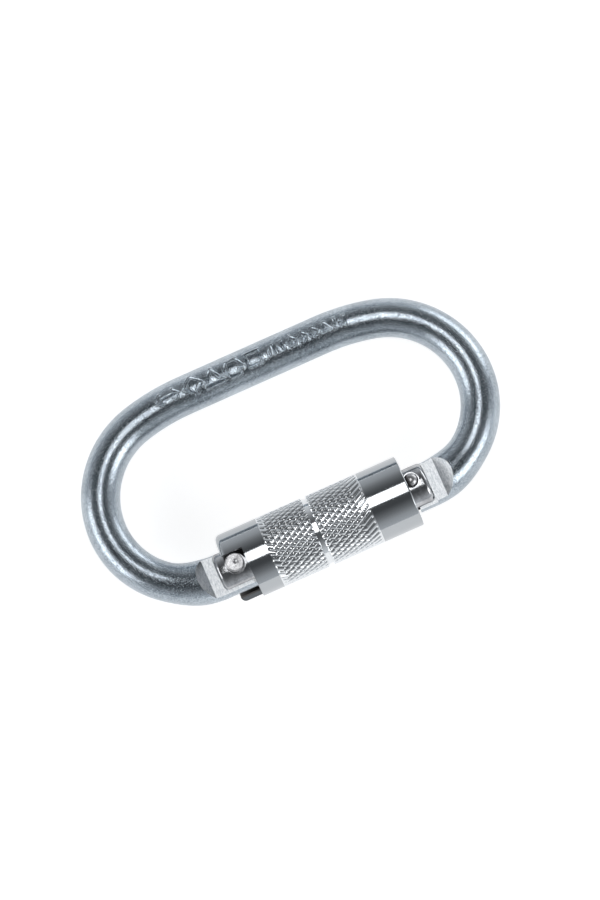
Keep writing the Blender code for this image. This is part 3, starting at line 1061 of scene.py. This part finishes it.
def makeSleeve():
    obj = newObject("lockSleeve", sleeveMesh())
    cutAway(obj, [notchTool()])
    obj.data.materials.append(polishedPlateAndKnurlHighlight)
    smooth(obj, sleeve["smoothAngle"])
    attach(obj, "sleeve")
    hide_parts("lock_sleeve")
    report("lock sleeve", obj)


makeSleeve()


# springs

springs = {
    "sides": 14,
    "stepsPerTurn": 48,
    "sleeveMean": 6.75 * mm,
    "sleeveWire": 0.42 * mm,
    "sleeveTurns": 6,
    "sleeveFrom": -14.2 * mm,
    "sleeveTo": -2.8 * mm,
    "legLeft": -16.2 * mm,
    "legRight": 0.4 * mm,
    "legBend": 0.2 * mm,
    "gateMean": 1.12 * mm,
    "gateWire": 0.32 * mm,
    "gateTurns": 7,
    "gateFrom": -11.9 * mm,
    "gateTo": -4.4 * mm,
    "gateKeep": 0.888,
    "smoothAngle": 50,
}


def coilPath(mean, startX, endX, turns):
    steps = springs["stepsPerTurn"] * turns
    angles = np.linspace(0, 2 * math.pi * turns, steps + 1)
    xs = np.linspace(startX, endX, steps + 1)
    return list(zip(xs, gateAxis.y + mean * np.cos(angles), gateAxis.z + mean * np.sin(angles)))


# a round wire along a path; its rings keep to the direction of the gate's axis
def wireMesh(name, path, radius):
    spots = [Vector(p) for p in path]
    rings = []
    for i, spot in enumerate(spots):
        along = (spots[min(i + 1, len(spots) - 1)] - spots[max(i - 1, 0)]).normalized()
        outward = Vector((0, spot.y - gateAxis.y, spot.z - gateAxis.z))
        outward = (outward - along * outward.dot(along)).normalized()
        side = along.cross(outward)
        turns = [2 * math.pi * k / springs["sides"] for k in range(springs["sides"])]
        rings.append([spot + (outward * math.cos(a) + side * math.sin(a)) * radius for a in turns])
    mesh = ringSurface(name, rings)
    faceOut(mesh)
    return mesh


def makeSleeveSpring():
    left, right, bend = springs["sleeveFrom"], springs["sleeveTo"], springs["legBend"]
    coil = coilPath(springs["sleeveMean"], left, right, springs["sleeveTurns"])
    y, z = coil[0][1:]
    path = [(springs["legLeft"], y, z), (left - bend, y, z), *coil[1:-1]]
    path += [(right + bend, y, z), (springs["legRight"], y, z)]
    obj = newObject("sleeveSpring", wireMesh("sleeveSpring", path, springs["sleeveWire"]))
    obj.data.materials.append(springSteel)
    smooth(obj, springs["smoothAngle"])
    start, end = gateAxis.copy(), gateAxis.copy()
    start.x, end.x = left, right
    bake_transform(obj)
    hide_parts("sleeve_spring")
    report("sleeve spring", obj)


def makeGateSpring():
    path = coilPath(springs["gateMean"], springs["gateFrom"], springs["gateTo"], springs["gateTurns"])
    obj = newObject("gateSpring", wireMesh("gateSpring", path, springs["gateWire"]))
    obj.data.materials.append(springSteel)
    smooth(obj, springs["smoothAngle"])
    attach(obj, "gate")
    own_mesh(obj)
    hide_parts("gate_spring")
    report("gate spring", obj)


makeSleeveSpring()
makeGateSpring()


# small parts that keep their CAD shape

def finishNode(name, material):
    obj = frame["nodes"][name]
    obj.data.materials.clear()
    obj.data.materials.append(material)


finishNode("guide_ring", turnedSteel)
finishNode("gate_plunger", turnedSteel)
print("small parts finished")


# floor, light and camera

stageLook = {
    "floorSize": 3.0,
    "floorColour": (0.62, 0.62, 0.62),
    "floorRoughness": 0.9,
    "floorGlow": 0.73,
    "sky": [
        (0.0, (0.70, 0.73, 0.76)),
        (0.35, (0.54, 0.56, 0.58)),
        (0.62, (0.29, 0.30, 0.31)),
        (0.88, (0.10, 0.105, 0.11)),
    ],
}


def makeFloor():
    half = stageLook["floorSize"] / 2
    corners = [(-half, -half, 0), (half, -half, 0), (half, half, 0), (-half, half, 0)]
    floor = newObject("floor", meshFrom("floor", corners, [(0, 1, 2, 3)]))
    material, tree, shader = nodeMaterial("paleFloor")
    shader.inputs["Metallic"].default_value = 0.0
    shader.inputs["Base Color"].default_value = (*stageLook["floorColour"], 1)
    shader.inputs["Roughness"].default_value = stageLook["floorRoughness"]
    shader.inputs["Specular IOR Level"].default_value = 0.0
    shader.inputs["Emission Color"].default_value = (1, 1, 1, 1)
    shader.inputs["Emission Strength"].default_value = stageLook["floorGlow"]
    floor.data.materials.append(material)


def makeSky():
    world = bpy.data.worlds.new("studio")
    world.use_nodes = True
    bpy.context.scene.world = world
    tree = world.node_tree
    background = tree.nodes["Background"]
    coords = tree.nodes.new("ShaderNodeTexCoord").outputs["Generated"]
    split = tree.nodes.new("ShaderNodeSeparateXYZ")
    link(tree, coords, split.inputs["Vector"])
    colour = rampAt(tree, split.outputs["Z"], stageLook["sky"])
    link(tree, colour, background.inputs["Color"])
    background.inputs["Strength"].default_value = 1.0


# each lamp faces the object; turn is measured from +X, lean from straight up
lamps = [
    {"name": "boxAbove", "turn": 90, "lean": 5, "far": 0.9, "size": (0.47, 0.17), "glow": 4.1},
    {"name": "boxLeft", "turn": 178, "lean": 64, "far": 1.1, "size": (0.50, 0.90), "glow": 2.3},
    {"name": "boxRight", "turn": -48, "lean": 62, "far": 1.1, "size": (0.60, 0.66), "glow": 2.6},
    {"name": "boxBehind", "turn": 29, "lean": 79, "far": 1.0, "size": (0.36, 0.74), "glow": 2.3},
]
lampShift = {"boxAbove": 0.03}


def makeLamps():
    for lamp in lamps:
        light = bpy.data.lights.new(lamp["name"], "AREA")
        light.shape = "RECTANGLE"
        light.size, light.size_y = lamp["size"]
        light.energy = lamp["glow"] * math.pi * light.size * light.size_y
        obj = newObject(lamp["name"], light)
        turn, lean = math.radians(lamp["turn"]), math.radians(lamp["lean"])
        across, rise = math.sin(lean), math.cos(lean)
        toLamp = Vector((across * math.cos(turn), across * math.sin(turn), rise))
        level = Vector((rise * math.cos(turn), rise * math.sin(turn), -across))
        place = Matrix((level, toLamp.cross(level), toLamp)).transposed().to_4x4()
        place.translation = toLamp * lamp["far"] + Vector((lampShift.get(lamp["name"], 0.0), 0, 0))
        obj.matrix_world = place


view = {
    "target": (2.4 * mm, 0.1 * mm, midZ),
    "distance": 0.75,
    "tilt": math.radians(10),
    "roll": math.radians(24),
    "frameHeight": 226.1 * mm,
    "sensor": 36.0,
}


def makeCamera():
    camera = bpy.data.cameras.new("camera")
    camera.sensor_width = view["sensor"]
    camera.lens = view["sensor"] * view["distance"] / view["frameHeight"]
    camera.clip_start = 0.01
    obj = newObject("camera", camera)
    back = Vector((0, -math.sin(view["tilt"]), math.cos(view["tilt"])))
    level = Vector((1, 0, 0))
    rise = back.cross(level)
    turn, lean = math.cos(view["roll"]), math.sin(view["roll"])
    right = level * turn - rise * lean
    up = level * lean + rise * turn
    place = Matrix((right, up, back)).transposed().to_4x4()
    place.translation = Vector(view["target"]) + back * view["distance"]
    obj.matrix_world = place
    bpy.context.scene.camera = obj


makeFloor()
makeSky()
makeLamps()
makeCamera()
bpy.context.scene.view_settings.view_transform = "Standard"
print("stage ready")
